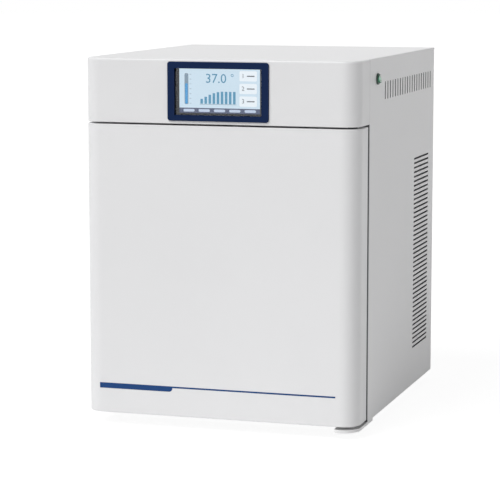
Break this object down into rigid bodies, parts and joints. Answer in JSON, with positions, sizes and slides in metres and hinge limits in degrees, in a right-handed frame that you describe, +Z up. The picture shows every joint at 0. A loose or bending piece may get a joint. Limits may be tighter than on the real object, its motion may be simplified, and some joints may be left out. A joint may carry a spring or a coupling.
{
  "type": "low-temperature incubator",
  "caption": "Bench-top low-temperature incubator: insulated chamber with hooked wire shelves, hinged door, touch display, cooling unit and side vents",
  "frame": {"origin": "on the floor, in the middle of the instrument's outline with its door shut", "axes": "+X to the right seen from the front, +Y to the back, +Z up; the door is at -Y"},
  "size_m": [0.5489, 0.6455, 0.708],
  "materials": {
    "shell_paint": "satin",
    "galvanised": "satin",
    "shell_plastic": "satin",
    "liner_plastic": "satin",
    "grip_plastic": "fine grain",
    "bezel_plastic": "satin",
    "cover_glass": "clear",
    "screen": "lit panel",
    "switch_housing": "satin",
    "switch_green": "translucent",
    "stainless": "brushed",
    "foam": "rigid foam",
    "gasket_rubber": "soft matt",
    "stripe_film": "satin film",
    "screw_steel": "bright",
    "black_rubber": "matt",
    "black_plastic": "satin",
    "grey_plastic": "satin",
    "copper_tube": "dull",
    "contact_brass": "bright",
    "black_enamel": "satin",
    "compressor_body": "black enamel",
    "motor_metal": "satin",
    "board": "satin"
  },
  "bodies": {
    "cabinet": {"side_panel_left": "shell_paint", "side_panel_right": "shell_paint", "top_cover": "shell_paint", "rear_cover": "shell_paint", "front_frame": "shell_paint", "lower_hinge_bracket": "shell_paint", "base_pan": "galvanised", "rear_bulkhead": "galvanised", "electronics_tray": "galvanised", "upper_hinge_bracket": "galvanised", "condenser_shroud": "galvanised", "control_fascia": "shell_plastic", "breaker_strip": "liner_plastic", "display_bezel": "bezel_plastic", "display_glass": "cover_glass", "display_module": "screen", "power_switch_body": "switch_housing", "inner_liner": "stainless", "shelf_uprights": "stainless", "shelf_supports_lower": "stainless", "shelf_supports_middle": "stainless", "shelf_supports_upper": "stainless", "shelf_lower": "stainless", "shelf_middle": "stainless", "shelf_upper": "stainless", "air_duct_panel": "stainless", "heater_element": "stainless", "temperature_sensor": "stainless", "insulation": "foam", "rear_cover_screws": "screw_steel", "foot_screws": "screw_steel", "hinge_screws": "screw_steel", "hinge_pins": "screw_steel", "feet": "black_rubber", "compressor_grommets": "black_rubber", "power_inlet": "black_plastic", "drain_tube": "grey_plastic", "condensate_tray": "grey_plastic", "evaporator_coil": "copper_tube", "refrigerant_pipes": "copper_tube", "filter_drier": "copper_tube", "inlet_pins": "contact_brass", "condenser_coil": "black_enamel", "compressor": "compressor_body", "circulation_fan_motor": "motor_metal", "condenser_fan_motor": "motor_metal", "power_supply": "motor_metal", "control_board": "board"},
    "door": {"door_skin": "shell_paint", "door_cap_bottom": "shell_plastic", "door_cap_top": "shell_plastic", "door_foam": "foam", "door_inner_panel": "liner_plastic", "door_gasket": "gasket_rubber", "door_grip": "grip_plastic", "door_stripe": "stripe_film", "door_bushes": "black_plastic"},
    "power_rocker": {"power_rocker": "switch_green"},
    "circulation_fan": {"circulation_fan": "black_plastic"},
    "condenser_fan": {"condenser_fan": "black_plastic"}
  },
  "joints": [
    {"name": "door_hinge", "type": "hinge", "parent": "cabinet", "child": "door", "pos_m": [0.25, -0.2835, 0.3], "axis": [0, 0, 1], "range_deg": [0, 120]},
    {"name": "power_rocker_tilt", "type": "hinge", "parent": "cabinet", "child": "power_rocker", "pos_m": [0.2716, -0.177, 0.6685], "axis": [0, 1, 0], "range_deg": [0, 16]},
    {"name": "circulation_fan_spin", "type": "hinge", "parent": "cabinet", "child": "circulation_fan", "pos_m": [0, 0.0662, 0.37], "axis": [0, 1, 0], "continuous": true},
    {"name": "condenser_fan_spin", "type": "hinge", "parent": "cabinet", "child": "condenser_fan", "pos_m": [0, 0.2656, 0.365], "axis": [0, 1, 0], "continuous": true}
  ]
}
